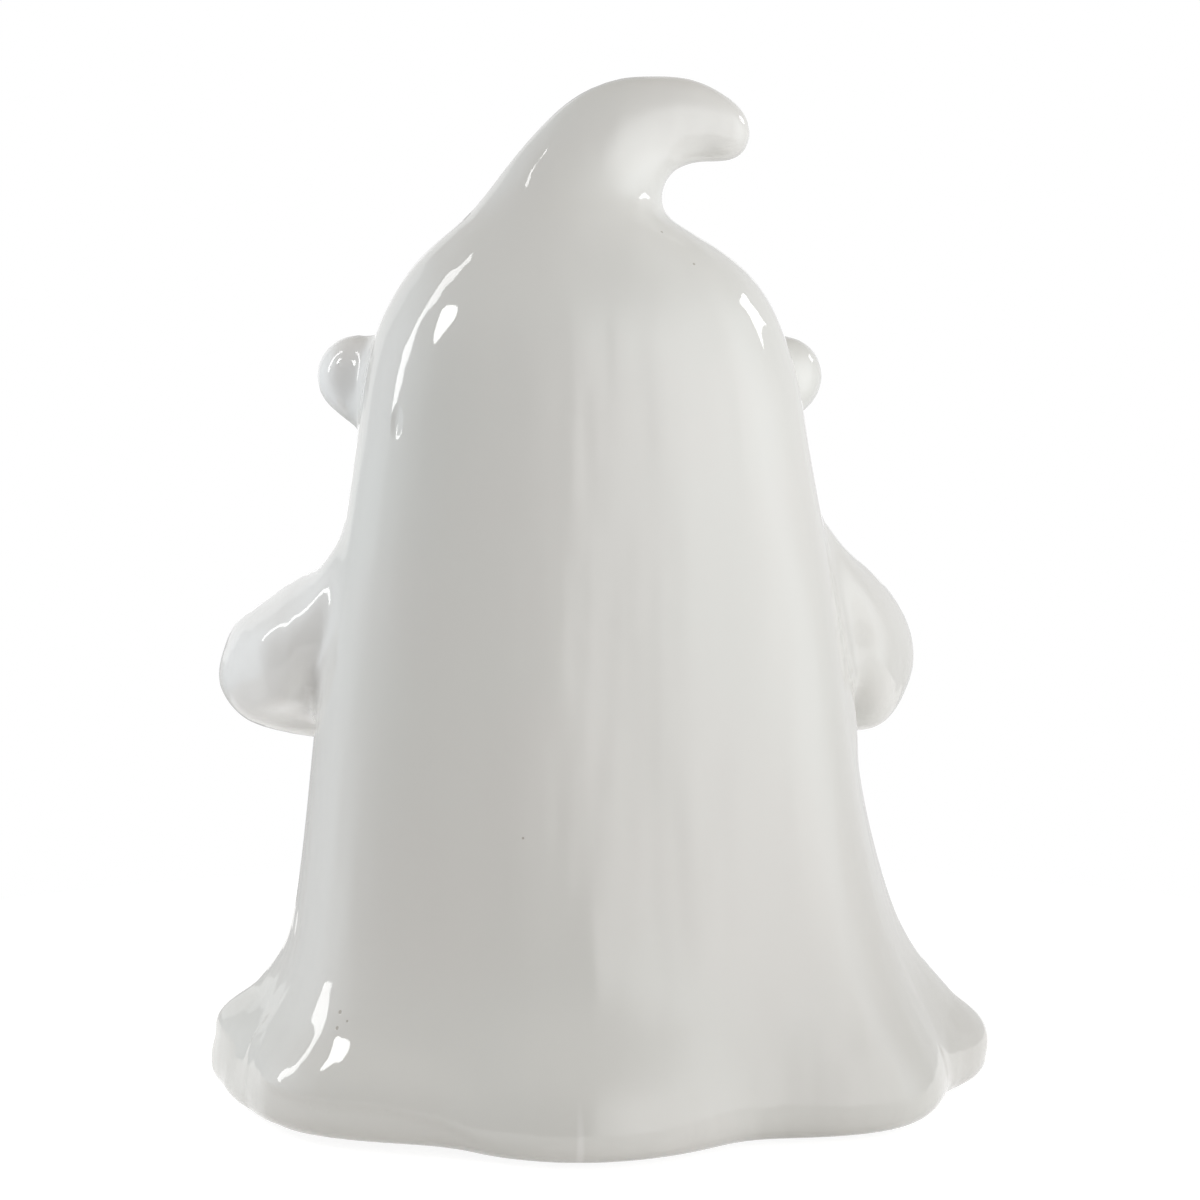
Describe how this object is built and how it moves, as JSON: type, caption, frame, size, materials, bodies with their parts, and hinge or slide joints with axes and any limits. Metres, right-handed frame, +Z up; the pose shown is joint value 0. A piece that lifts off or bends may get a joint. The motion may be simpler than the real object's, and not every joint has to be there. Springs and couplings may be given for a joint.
{
  "type": "ghost figure",
  "caption": "Standing ceramic ghost figure with a hooked peak, folded hem, side knobs, bent arms, plain face and a vented floor on felt pads.",
  "frame": {"origin": "middle of the footprint, on the plane that the felt pads rest on", "axes": "+Z up; the figure faces -Y and its left hand is on +X, so the picture, taken from behind, looks along -Y with +X on its left"},
  "size_m": [0.2388, 0.1725, 0.305],
  "materials": {
    "white_glaze": "gloss",
    "black_glaze": "gloss",
    "bare_clay": "matt",
    "felt": "felt"
  },
  "bodies": {
    "root": {"body_shell": "white_glaze", "left_arm": "white_glaze", "right_arm": "white_glaze", "left_ear": "white_glaze", "right_ear": "white_glaze", "left_eye": "black_glaze", "right_eye": "black_glaze", "mouth": "black_glaze", "base_plate": "bare_clay", "felt_pads": "felt"}
  },
  "joints": []
}
